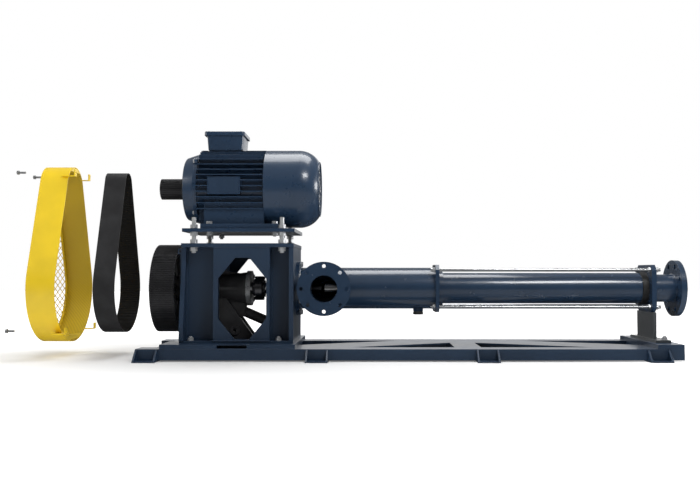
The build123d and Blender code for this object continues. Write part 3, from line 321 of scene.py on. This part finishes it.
def smooth_shading(nodes, angle=35):
    for node in nodes:
        mesh = NODES[node].data
        mesh.shade_smooth()
        mesh.set_sharp_from_angle(angle=math.radians(angle))


# ---- settings -------------------------------------------------------------------------------------
class PumpFinishSettings(bpy.types.PropertyGroup):
    """Colours and finishes of the pump."""

    body_colour: FloatVectorProperty(name="Body paint", description="Enamel on the skid, motor and pump",
                                     subtype="COLOR", size=3, default=(0.016, 0.036, 0.072), min=0, max=1)
    guard_colour: FloatVectorProperty(name="Guard paint", description="Safety yellow of the belt guard",
                                      subtype="COLOR", size=3, default=(0.86, 0.60, 0.015), min=0, max=1)
    iron_colour: FloatVectorProperty(name="Casting", description="Bearing housing and seal castings",
                                     subtype="COLOR", size=3, default=(0.03, 0.03, 0.032), min=0, max=1)
    steel_colour: FloatVectorProperty(name="Plated steel", description="Studs, nuts, tie rods and bolts",
                                      subtype="COLOR", size=3, default=(0.42, 0.43, 0.44), min=0, max=1)
    rubber_colour: FloatVectorProperty(name="Belt rubber", description="Toothed belt and joint boots",
                                       subtype="COLOR", size=3, default=(0.012, 0.012, 0.013), min=0, max=1)
    paint_roughness: FloatProperty(name="Paint roughness", description="How dull the body enamel is",
                                   default=0.36, min=0.08, max=0.9)


class PumpDetailSettings(bpy.types.PropertyGroup):
    """Sizes of the pieces that are added to the pump."""

    mesh_width: FloatProperty(name="Mesh opening width", description="Long way of the guard's mesh openings",
                              default=0.062, min=0.01, max=0.12, unit="LENGTH")
    mesh_height: FloatProperty(name="Mesh opening height",
                               description="Short way of the guard's mesh openings",
                               default=0.034, min=0.01, max=0.12, unit="LENGTH")
    strand: FloatProperty(name="Mesh strand", description="Width of a strand of the guard's mesh",
                          default=0.0055, min=0.001, max=0.01, unit="LENGTH")
    weld: FloatProperty(name="Weld size", description="Radius of a weld bead",
                        default=0.004, min=0.001, max=0.01, unit="LENGTH")
    box_corner: FloatProperty(name="Box corner", description="Corner radius of the terminal box",
                              default=0.014, min=0.002, max=0.03, unit="LENGTH")


class PumpStageSettings(bpy.types.PropertyGroup):
    """Camera and lights."""

    distance: FloatProperty(name="Camera distance", description="From the pump's middle plane to the lens",
                            default=4.0, min=1.0, max=20.0, unit="LENGTH")
    lens: FloatProperty(name="Lens", description="Focal length in millimetres",
                        default=42.43, min=10, max=200)
    key_power: FloatProperty(name="Key light", description="Power of the main soft light in watts",
                             default=60.0, min=0.0, max=2000.0)
    sky_power: FloatProperty(name="Sky", description="Strength of the soft light from all round",
                             default=1.0, min=0.0, max=5.0)
    floor_glow: FloatProperty(name="Floor glow", description="How much light the floor gives near the pump",
                              default=0.12, min=0.0, max=1.0)
    pitch: FloatProperty(name="Camera pitch", description="How far the camera looks up",
                         default=math.radians(1.8), subtype="ANGLE")
    floor_colour: FloatVectorProperty(name="Floor", description="Colour of the floor", subtype="COLOR",
                                      size=3, default=(0.76, 0.76, 0.76), min=0, max=1)


MATERIALS = {}


# ---- operators ------------------------------------------------------------------------------------
class PUMP_OT_finishes(bpy.types.Operator):
    """Mix the paints, metals and rubbers"""

    bl_idname = "pump.finishes"
    bl_label = "Mix finishes"

    def execute(self, context):
        tones = context.scene.pump_finish
        body = tuple(tones.body_colour)
        steel = tuple(tones.steel_colour)
        rough = tones.paint_roughness
        MATERIALS.update({
            "body": paint("body_enamel", body, rough),
            "motor": paint("motor_enamel", shade(body, 1.0), rough - 0.08, coat=0.35),
            "pedestal": paint("pedestal_enamel", shade(body, 0.95), rough + 0.02),
            "barrel": paint("barrel_enamel", shade(body, 1.0), rough - 0.12, coat=0.5),
            "guard": paint("guard_enamel", tuple(tones.guard_colour), 0.34, coat=0.3, edge=0.001),
            "support": paint("support_primer", (0.055, 0.062, 0.068), 0.42),
            "steel": metal("plated_steel", shade(steel, 1.4), 0.3, bare=0.55),
            "tie": metal("drawn_steel", shade(steel, 1.3), 0.22, grain=(0.02, 1.0, 1.0), depth=0.000006),
            "shaft": metal("ground_shaft_steel", shade(steel, 0.9), 0.28),
            "cover": metal("turned_cover_steel", shade(steel, 0.7), 0.28, bare=0.6),
            "dark": metal("blackened_steel", (0.13, 0.13, 0.14), 0.28),
            "rotor": metal("polished_rotor_steel", (0.7, 0.7, 0.71), 0.16),
            "core": metal("core_laminations", (0.22, 0.22, 0.23), 0.5, grain=(6.0, 1.0, 1.0)),
            "plate": paint("blank_plate_enamel", shade(body, 0.9), 0.36, coat=0.1),
            "iron": casting("housing_iron", tuple(tones.iron_colour), 0.5),
            "pulley": metal("blackened_pulley_steel", (0.04, 0.04, 0.043), 0.3, grain=(0.1, 1.0, 1.0),
                            depth=0.00003, bare=0.6),
            # belt: outer side is the rubber painted lighter, as lit; inner, toothed side is the rubber
            # painted darker, as shade
            "belt": rubber("belt_rubber_painted_light", shade(tones.rubber_colour, 1.5), 0.5),
            "teeth": rubber("belt_tooth_rubber_in_shade", shade(tones.rubber_colour, 0.5), 0.6),
            # inside of the guard band: the guard yellow at 0.6, painted shade, with painted mesh shadow
            "guard_inner_shade": mesh_shadow_paint("guard_inner_painted_shade", shade(tones.guard_colour, 0.6), 0.5),
            "boot": rubber("boot_rubber", shade(tones.rubber_colour, 1.3), 0.6),
            "lining": rubber("lining_rubber", (0.018, 0.018, 0.018), 0.55),
            "packing": rubber("braided_packing", (0.3, 0.27, 0.2), 0.8, 900.0),
            "fan": rubber("fan_plastic", (0.02, 0.02, 0.022), 0.45),
        })
        return {"FINISHED"}


class PUMP_OT_skid(bpy.types.Operator):
    """Paint the skid, and lay the weld beads along its bed plate"""

    bl_idname = "pump.skid"
    bl_label = "Skid"

    def execute(self, context):
        recolour(["skid_rails", "skid_cross_members", "skid_end_plate", "skid_feet", "pedestal_bed_plate"],
                 MATERIALS["body"])
        recolour(["discharge_support"], MATERIALS["support"])
        weld = context.scene.pump_detail.weld
        low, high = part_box("pedestal_bed_plate")
        bm = bmesh.new()
        for y in (low.y + 0.001, high.y - 0.001):
            add_bead(bm, [(low.x, y, low.z), (high.x, y, low.z)], weld * 0.7)
        new_piece("bed_plate_welds", bm, "skid", MATERIALS["body"], True)
        return {"FINISHED"}


class PUMP_OT_pedestal(bpy.types.Operator):
    """Paint the pedestal and lay its weld beads"""

    bl_idname = "pump.pedestal"
    bl_label = "Pedestal"

    def execute(self, context):
        nodes = ["pedestal_floor_plate", "pedestal_left_wall", "pedestal_right_wall", "pedestal_front_frame",
                 "pedestal_rear_frame", "pedestal_top_plate"]
        recolour(nodes, MATERIALS["pedestal"])
        weld = context.scene.pump_detail.weld
        low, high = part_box("pedestal_front_frame")
        bm = bmesh.new()
        for side in (-1, 1):
            for x in (low.x, high.x):
                y = side * WEB_Y
                add_bead(bm, [(x, y, low.z), (x, y, high.z)], weld)
            for z in (low.z, high.z):
                y = side * abs(low.y)
                add_bead(bm, [(x, y, z) for x in POST_X], weld)
        new_piece("pedestal_welds", bm, "skid", MATERIALS["pedestal"], True)
        return {"FINISHED"}


class PUMP_OT_drive(bpy.types.Operator):
    """Finish the bearing unit, the drive line, the belt and the pulleys"""

    bl_idname = "pump.drive"
    bl_label = "Drive"

    def execute(self, context):
        recolour(["bearing_housing"], MATERIALS["iron"])
        recolour(["bearing_cover"], MATERIALS["cover"])
        recolour(["drive_shaft", "plug_in_shaft", "coupling_bolts"], MATERIALS["dark"])
        recolour(["bearing_inner_rings", "bearing_outer_rings", "bearing_rollers",
                  "motor_bearings", "motor_shaft"], MATERIALS["shaft"])
        recolour(["drive_pulley", "motor_pulley"], MATERIALS["pulley"])
        recolour(["toothed_belt"], MATERIALS["belt"])
        # the inner, toothed faces get the darker copy: painted shade
        paint_inner_shade("toothed_belt", MATERIALS["teeth"])
        smooth_shading(["bearing_housing", "bearing_cover", "drive_shaft", "plug_in_shaft"])
        shaft = NODES["plug_in_shaft"].data
        shaft.materials.append(MATERIALS["rotor"])
        for face in shaft.polygons:
            face.material_index = int(min(shaft.vertices[k].co.x for k in face.vertices) > STEEL_SHAFT_X)
        bm = bmesh.new()
        add_disc(bm, (NIPPLE_X, 0, SHAFT_Z + 0.055), (0, 0, 1), 0.004, 0.05, 16)
        add_disc(bm, (NIPPLE_X, 0, SHAFT_Z + 0.100), (0, 0, 1), 0.006, 0.006, 6)
        add_disc(bm, (NIPPLE_X, 0, SHAFT_Z + 0.106), (0, 0, 1), 0.003, 0.008, 12, 0.0042)
        new_piece("grease_nipples", bm, "skid", MATERIALS["steel"], True)
        return {"FINISHED"}


class PUMP_OT_pump(bpy.types.Operator):
    """Finish the seal, the suction housing, the stator and the discharge"""

    bl_idname = "pump.pump"
    bl_label = "Pump"

    def execute(self, context):
        recolour(["suction_housing", "stator_tube", "stator_inlet_flange", "stator_outlet_flange",
                  "discharge_branch"], MATERIALS["barrel"])
        recolour(["stuffing_box", "gland_follower"], MATERIALS["iron"])
        recolour(["packing_rings"], MATERIALS["packing"])
        recolour(["coupling_rod"], MATERIALS["rotor"])
        recolour(["joint_boots"], MATERIALS["boot"])
        recolour(["pump_rotor"], MATERIALS["rotor"])
        recolour(["stator_lining"], MATERIALS["lining"])
        recolour(["tie_rods"], MATERIALS["tie"])
        tube = NODES["stator_tube"].data
        tube.materials.append(MATERIALS["lining"])
        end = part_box("stator_tube")[1].x - END_RING_LENGTH
        for face in tube.polygons:
            face.material_index = int(min(tube.vertices[k].co.x for k in face.vertices) > end)
        smooth_shading(["suction_housing", "stator_tube", "discharge_branch", "pump_rotor", "stator_lining",
                        "joint_boots", "coupling_rod", "tie_rods", "stuffing_box", "gland_follower"])
        return {"FINISHED"}


class PUMP_OT_motor(bpy.types.Operator):
    """Finish the motor, and build its terminal box with rounded corners, the lid and the lid's screws"""

    bl_idname = "pump.motor"
    bl_label = "Motor"

    def execute(self, context):
        motor = MATERIALS["motor"]
        recolour(["motor_frame", "motor_end_shield", "motor_rear_shield", "motor_fan_cover",
                  "motor_fan_grille", "motor_plate"], motor)
        recolour(["motor_stator_core", "motor_rotor_core"], MATERIALS["core"])
        recolour(["rating_plate"], MATERIALS["plate"])
        recolour(["cooling_fan"], MATERIALS["fan"])
        smooth_shading(["motor_end_shield", "motor_rear_shield", "motor_fan_cover", "motor_shaft"])
        corner = context.scene.pump_detail.box_corner
        low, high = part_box("terminal_box")
        bm = bmesh.new()
        verts = add_slab(bm, low, high)
        for vert in verts:
            if vert.co.z < low.z + 0.001:
                vert.co.x += 0.005 if vert.co.x < (low.x + high.x) / 2 else -0.005
                vert.co.y += 0.005 if vert.co.y < 0 else -0.005
        round_over(bm, upright_edges(bm), corner, 6)
        box = new_piece("terminal_box_body", bm, "motor_carriage", motor, True)
        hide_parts("terminal_box")
        low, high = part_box("terminal_box_lid")
        bm = bmesh.new()
        add_slab(bm, low, high)
        round_over(bm, upright_edges(bm), corner, 6)
        rim = [edge for edge in bm.edges if min(vert.co.z for vert in edge.verts) > high.z - 0.0005]
        round_over(bm, rim, 0.006, 4)
        lid = new_piece("terminal_box_cover", bm, "motor_carriage", motor, True)
        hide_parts("terminal_box_lid")
        bm = bmesh.new()
        for x in (low.x + 0.02, high.x - 0.02):
            for y in (low.y + 0.02, high.y - 0.02):
                add_disc(bm, (x, y, high.z - 0.004), (0, 0, 1), 0.0065, 0.006, 20)
        new_piece("terminal_lid_screws", bm, "motor_carriage", MATERIALS["steel"], True)
        return {"FINISHED"}


class PUMP_OT_motor_fittings(bpy.types.Operator):
    """Add the motor's end screws, cable gland, grease nipple and cover rim, and the pulleys' end washers"""

    bl_idname = "pump.motor_fittings"
    bl_label = "Motor fittings"

    def execute(self, context):
        motor, steel, dark = (MATERIALS[key] for key in ("motor", "steel", "dark"))
        shield_low, shield_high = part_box("motor_end_shield")
        bm = bmesh.new()
        for y, z in around(SHIELD_SCREW_CIRCLE, 4, 45, MOTOR_Z):
            add_disc(bm, (shield_high.x - EAR_THICK, y, z), (-1, 0, 0), 0.009, 0.007, 6)
            add_disc(bm, (shield_high.x - EAR_THICK, y, z), (-1, 0, 0), 0.0115, 0.0016, 24)
        for y, z in around(CAP_SCREW_CIRCLE, 3, 90, MOTOR_Z):
            add_disc(bm, (shield_low.x + 0.001, y, z), (-1, 0, 0), 0.0065, 0.005, 6)
        new_piece("motor_end_screws", bm, "motor_carriage", steel)

        low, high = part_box("terminal_box")
        middle = (low + high) / 2
        bm = bmesh.new()
        add_disc(bm, (middle.x, high.y - 0.006, middle.z), (0, 1, 0), 0.026, 0.009, 6)
        add_turned(bm, [(0.021, 0), (0.021, 0.016), (0.017, 0.021), (0.009, 0.023), (0.009, 0)],
                   (middle.x, high.y + 0.002, middle.z), (0, 1, 0), 32)
        new_piece("cable_gland", bm, "motor_carriage", dark, True)

        bm = bmesh.new()
        x = shield_high.x - 0.010
        add_disc(bm, (x, 0, MOTOR_Z + 0.160), (0, 0, 1), 0.006, 0.010, 6)
        add_disc(bm, (x, 0, MOTOR_Z + 0.170), (0, 0, 1), 0.0035, 0.009, 16, 0.0045)
        new_piece("motor_grease_nipple", bm, "motor_carriage", steel, True)

        bm = bmesh.new()
        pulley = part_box("motor_pulley")[0]
        add_turned(bm, [(0.0, -0.001), (0.0, 0.0015), (0.030, 0.0015), (0.031, 0.0005), (0.031, -0.001)],
                   (pulley.x, 0, MOTOR_Z), (-1, 0, 0), 40, False)
        add_disc(bm, (pulley.x - 0.001, 0, MOTOR_Z), (-1, 0, 0), 0.009, 0.002, 24)
        new_piece("motor_pulley_washer", bm, "motor_rotor", dark, True)

        bm = bmesh.new()
        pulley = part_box("drive_pulley")[0]
        add_turned(bm, [(0.0, -0.008), (0.0, 0.001), (0.034, 0.001), (0.038, -0.002), (0.038, -0.008)],
                   (pulley.x - 0.001, 0, SHAFT_Z), (-1, 0, 0), 40, False)
        for y, z in around(PULLEY_SCREW_CIRCLE, 3, 30, SHAFT_Z):
            add_disc(bm, (pulley.x - 0.001, y, z), (-1, 0, 0), 0.006, 0.006, 6)
        new_piece("drive_pulley_washer", bm, "drive_line", steel, True)

        bm = bmesh.new()
        low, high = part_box("motor_fan_grille")
        radius = (high.z - low.z) / 2
        add_ring(bm, (high.x - 0.001, 0, MOTOR_Z), (1, 0, 0), radius + 0.001, 0.003, 10, 96)
        new_piece("fan_cover_rim", bm, "motor_carriage", motor, True)
        return {"FINISHED"}


class PUMP_OT_pipe_welds(bpy.types.Operator):
    """Run weld beads round the flanges' necks"""

    bl_idname = "pump.pipe_welds"
    bl_label = "Pipe welds"

    def execute(self, context):
        weld = context.scene.pump_detail.weld
        bm = bmesh.new()
        low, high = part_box("suction_housing")
        add_ring(bm, (0, low.y + FLANGE_THICK[0], SHAFT_Z), (0, 1, 0), SUCTION_BEAD_R, weld, 8, 64)
        add_ring(bm, (low.x + FLANGE_THICK[1], 0, SHAFT_Z), (1, 0, 0), HOUSING_BEAD_R, weld, 8, 72)
        low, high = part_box("discharge_branch")
        add_ring(bm, (high.x - FLANGE_THICK[2], 0, SHAFT_Z), (1, 0, 0), PIPE_BEAD_R, weld, 8, 64)
        add_ring(bm, (low.x + 0.001, 0, SHAFT_Z), (1, 0, 0), PIPE_BEAD_R, weld * 0.8, 8, 64)
        new_piece("flange_welds", bm, "skid", MATERIALS["barrel"], True)
        return {"FINISHED"}


class PUMP_OT_guard(bpy.types.Operator):
    """Paint the guard and stretch its expanded mesh"""

    bl_idname = "pump.guard"
    bl_label = "Guard"

    def execute(self, context):
        guard = MATERIALS["guard"]
        recolour(["guard_band", "guard_brackets"], guard)
        # the band's inner faces take the darker copy: painted shade and painted mesh shadow
        paint_inner_shade("guard_band", MATERIALS["guard_inner_shade"])
        smooth_shading(["guard_band"])
        sizes = context.scene.pump_detail
        low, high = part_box("guard_mesh")
        centre_low, centre_top = Vector((0, SHAFT_Z)), Vector((0, MOTOR_Z))
        radius_low, radius_top = (high.y - low.y) / 2, high.z - MOTOR_Z
        rows = int((high.z - low.z) / (sizes.mesh_height / 2)) + 4
        columns = int((high.y - low.y) / (sizes.mesh_width / 2)) + 4
        count = max(rows, columns)
        bm = bmesh.new()
        bmesh.ops.create_grid(bm, x_segments=count, y_segments=count, size=count / 2)
        bmesh.ops.rotate(bm, cent=(0, 0, 0), matrix=Matrix.Rotation(math.pi / 4, 3, "Z"), verts=bm.verts[:])
        root = math.sqrt(2)
        for vert in bm.verts:
            across, up = vert.co.x / root * sizes.mesh_width, vert.co.y / root * sizes.mesh_height
            vert.co = (low.x, across, (low.z + high.z) / 2 + up)
        tilt = math.asin((radius_low - radius_top) / (MOTOR_Z - SHAFT_Z))
        for step in range(OUTLINE_STEPS):
            angle = 2 * math.pi * step / OUTLINE_STEPS
            way = Vector((math.cos(angle), math.sin(angle)))
            edge = centre_low + way * radius_low
            if math.sin(angle) > math.sin(tilt):
                edge = centre_top + way * radius_top
            bmesh.ops.bisect_plane(bm, geom=bm.verts[:] + bm.edges[:] + bm.faces[:], dist=1e-7,
                                   plane_co=(low.x, edge.x, edge.y), plane_no=(0, way.x, way.y),
                                   clear_outer=True)
        bmesh.ops.wireframe(bm, faces=bm.faces[:], thickness=sizes.strand, offset=0.0, use_replace=True,
                            use_boundary=True, use_even_offset=True, use_relative_offset=False,
                            use_crease=False)
        bmesh.ops.scale(bm, vec=(MESH_FLATTENING, 1, 1), space=Matrix.Translation((-low.x, 0, 0)),
                        verts=bm.verts[:])
        mesh = new_piece("guard_expanded_mesh", bm, "guard", guard)
        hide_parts("guard_mesh")
        return {"FINISHED"}


class PUMP_OT_fasteners(bpy.types.Operator):
    """Finish the bolts, nuts and studs"""

    bl_idname = "pump.fasteners"
    bl_label = "Fasteners"

    def execute(self, context):
        recolour(["adjuster_studs", "adjuster_upper_nuts", "motor_foot_bolts", "gland_studs", "frame_bolts"],
                 MATERIALS["steel"])
        recolour(["drain_plug"], MATERIALS["iron"])
        recolour(["guard_bolts"], MATERIALS["cover"])
        return {"FINISHED"}


class PUMP_OT_stage(bpy.types.Operator):
    """Set the floor, the lights, the sky and the camera"""

    bl_idname = "pump.stage"
    bl_label = "Stage"

    def execute(self, context):
        scene = context.scene
        stage = scene.pump_stage
        bm = bmesh.new()
        bmesh.ops.create_grid(bm, x_segments=1, y_segments=1, size=FLOOR_HALF)
        mesh = bpy.data.meshes.new("floor")
        bm.to_mesh(mesh)
        bm.free()
        floor = bpy.data.objects.new("floor", mesh)
        scene.collection.objects.link(floor)
        finish = Recipe("pale_floor")
        finish.set(Base_Color=finish.ramp(finish.noise(3.0), [(0.0, shade(stage.floor_colour, 0.99)),
                                                              (1.0, tuple(stage.floor_colour))]),
                   Roughness=0.7, Specular_IOR_Level=0.1)
        spread = finish.add("ShaderNodeMapping", {"Vector": finish.place, "Scale": (0.3, 0.45, 1.0)})
        near = finish.add("ShaderNodeTexGradient", {"Vector": spread.outputs[0]}, gradient_type="SPHERICAL")
        glow = finish.add("ShaderNodeMapRange", {"Value": near.outputs["Fac"], "From Min": 0.1,
                                                 "From Max": 0.75, "To Min": 1.0,
                                                 "To Max": stage.floor_glow}, interpolation_type="SMOOTHSTEP")
        finish.set(Emission_Color=(1, 1, 1, 1), Emission_Strength=glow.outputs[0])
        mesh.materials.append(finish.material)
        floor.visible_glossy = False

        world = bpy.data.worlds.new("studio")
        scene.world = world
        world.use_nodes = True
        tree = world.node_tree
        sky = tree.nodes["Background"]
        sky.inputs["Strength"].default_value = stage.sky_power
        place = add_node(tree, "ShaderNodeTexCoord")
        split = add_node(tree, "ShaderNodeSeparateXYZ", {0: place.outputs["Generated"]})
        height = add_node(tree, "ShaderNodeMapRange", {"Value": split.outputs["Z"], "From Min": -1.0})
        behind = add_node(tree, "ShaderNodeMapRange", {"Value": split.outputs["Y"], "From Max": 0.5})
        bands = []
        for levels in (SKY_FRONT, SKY_BEHIND):
            band = add_node(tree, "ShaderNodeValToRGB", {"Fac": height.outputs[0]})
            fill_band(band.color_ramp, [(position, (level, level, level)) for position, level in levels])
            bands.append(band.outputs["Color"])
        blend = add_node(tree, "ShaderNodeMixRGB", {"Fac": behind.outputs[0], 1: bands[0], 2: bands[1]})
        tree.links.new(blend.outputs[0], sky.inputs["Color"])
        seen = add_node(tree, "ShaderNodeBackground", {"Color": (1, 1, 1, 1), "Strength": 1.0})
        path = add_node(tree, "ShaderNodeLightPath")
        choice = add_node(tree, "ShaderNodeMixShader", {"Fac": path.outputs["Is Camera Ray"],
                                                        1: sky.outputs[0], 2: seen.outputs[0]})
        tree.links.new(choice.outputs[0], tree.nodes["World Output"].inputs["Surface"])

        for name, (place, size, share) in LIGHTS.items():
            lamp = bpy.data.lights.new(name, "AREA")
            lamp.shape = "RECTANGLE"
            lamp.size = size
            lamp.size_y = size * 0.6
            lamp.energy = stage.key_power * share
            light = bpy.data.objects.new(name, lamp)
            light.location = place
            light.rotation_euler = (Vector(LIGHTS_AIM) - Vector(place)).to_track_quat("-Z", "Y").to_euler()
            scene.collection.objects.link(light)

        lens = bpy.data.cameras.new("camera")
        lens.lens = stage.lens
        lens.shift_x = CAMERA_SHIFT[0]
        lens.shift_y = CAMERA_SHIFT[1] - math.tan(stage.pitch) * lens.lens / lens.sensor_width
        camera = bpy.data.objects.new("camera", lens)
        camera.location = (CAMERA_X, -stage.distance, CAMERA_Z)
        camera.rotation_euler = (math.pi / 2 + stage.pitch, 0, 0)
        scene.collection.objects.link(camera)
        scene.camera = camera
        scene.view_settings.view_transform = "Standard"
        return {"FINISHED"}


class PUMP_PT_panel(bpy.types.Panel):
    """Sidebar panel with a button for each group"""

    bl_idname = "PUMP_PT_panel"
    bl_label = "Pump"
    bl_space_type = "VIEW_3D"
    bl_region_type = "UI"
    bl_category = "Pump"

    def draw(self, context):
        scene = context.scene
        for settings in (scene.pump_finish, scene.pump_detail, scene.pump_stage):
            box = self.layout.box()
            for key in settings.__annotations__:
                box.prop(settings, key)
        for step in STEPS:
            self.layout.operator(step.bl_idname)


SETTINGS = (("pump_finish", PumpFinishSettings), ("pump_detail", PumpDetailSettings),
            ("pump_stage", PumpStageSettings))
STEPS = (PUMP_OT_finishes, PUMP_OT_skid, PUMP_OT_pedestal, PUMP_OT_drive, PUMP_OT_pump, PUMP_OT_pipe_welds,
         PUMP_OT_motor, PUMP_OT_motor_fittings, PUMP_OT_guard, PUMP_OT_fasteners, PUMP_OT_stage)


def register():
    for name, kind in SETTINGS:
        bpy.utils.register_class(kind)
        setattr(bpy.types.Scene, name, PointerProperty(type=kind))
    for kind in STEPS + (PUMP_PT_panel,):
        bpy.utils.register_class(kind)


def unregister():
    for kind in reversed(STEPS + (PUMP_PT_panel,)):
        bpy.utils.unregister_class(kind)
    for name, kind in reversed(SETTINGS):
        delattr(bpy.types.Scene, name)
        bpy.utils.unregister_class(kind)


def main():
    register()
    for step in STEPS:
        group, name = step.bl_idname.split(".")
        getattr(getattr(bpy.ops, group), name)()


if __name__ == "__main__":
    main()
